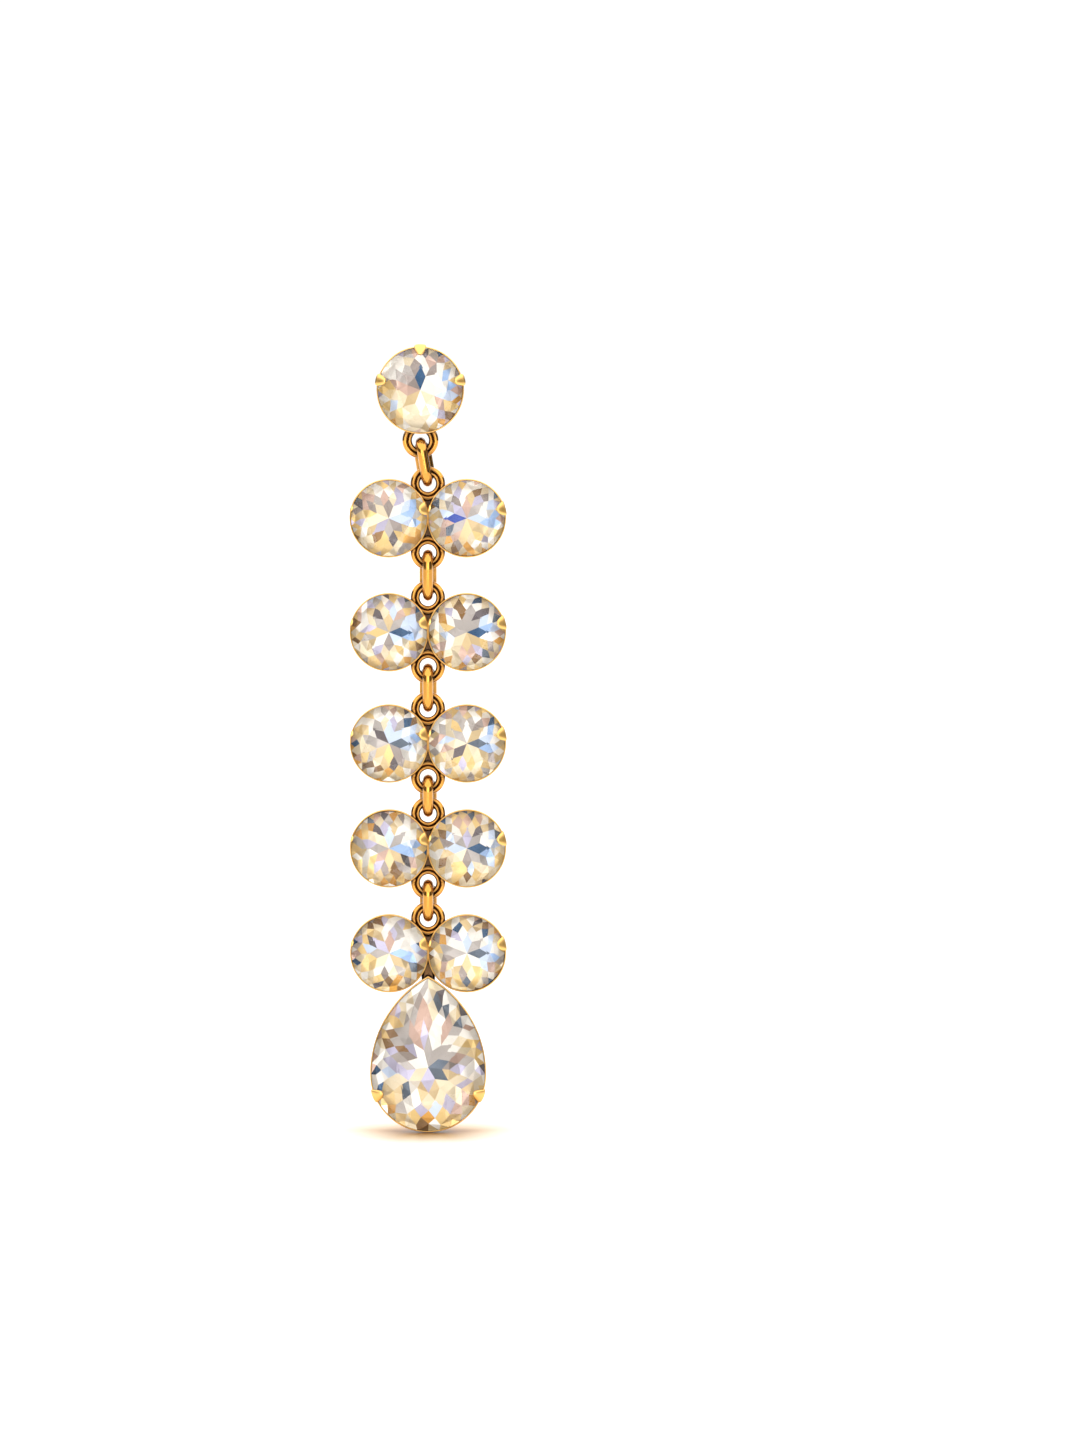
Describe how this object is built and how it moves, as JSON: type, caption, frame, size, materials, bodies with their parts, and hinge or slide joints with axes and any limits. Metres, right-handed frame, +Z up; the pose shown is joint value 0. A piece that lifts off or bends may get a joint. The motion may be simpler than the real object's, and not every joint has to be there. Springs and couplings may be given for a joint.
{
  "type": "drop earring",
  "caption": "Long post earring: a round crystal stud, tiers of paired round crystals joined by oval links, and a pear crystal that hangs lowest.",
  "frame": {"origin": "where the ear post leaves the flat back of the stud's cup", "axes": "+Z up, the stones face -Y, the ear post runs along +Y, +X to the viewer's right"},
  "size_m": [0.0181, 0.0179, 0.0907],
  "materials": {
    "gold": "polished yellow gold plating",
    "crystal": "cut glass with a foil back and an iridescent coating, champagne with blue and pink flashes"
  },
  "bodies": {
    "chain": {"stud_setting": "gold", "link_1": "gold", "link_2": "gold", "link_3": "gold", "link_4": "gold", "pair_setting_1": "gold", "pair_setting_2": "gold", "pair_setting_3": "gold", "pair_setting_4": "gold", "stud_stone": "crystal", "round_stone_1_left": "crystal", "round_stone_1_right": "crystal", "round_stone_2_left": "crystal", "round_stone_2_right": "crystal", "round_stone_3_left": "crystal", "round_stone_3_right": "crystal", "round_stone_4_left": "crystal", "round_stone_4_right": "crystal"},
    "drop_link": {"link_5": "gold"},
    "drop": {"drop_setting": "gold", "round_stone_5_left": "crystal", "round_stone_5_right": "crystal", "pear_stone": "crystal"}
  },
  "joints": [
    {"name": "drop_link_swing", "type": "hinge", "parent": "chain", "child": "drop_link", "pos_m": [0.00085, -0.0037, -0.05679], "axis": [0, 1, 0], "range_deg": [-30, 30]},
    {"name": "drop_swing", "type": "hinge", "parent": "drop_link", "child": "drop", "pos_m": [0.00085, -0.0037, -0.05944], "axis": [1, 0, 0], "range_deg": [-60, 60]}
  ]
}
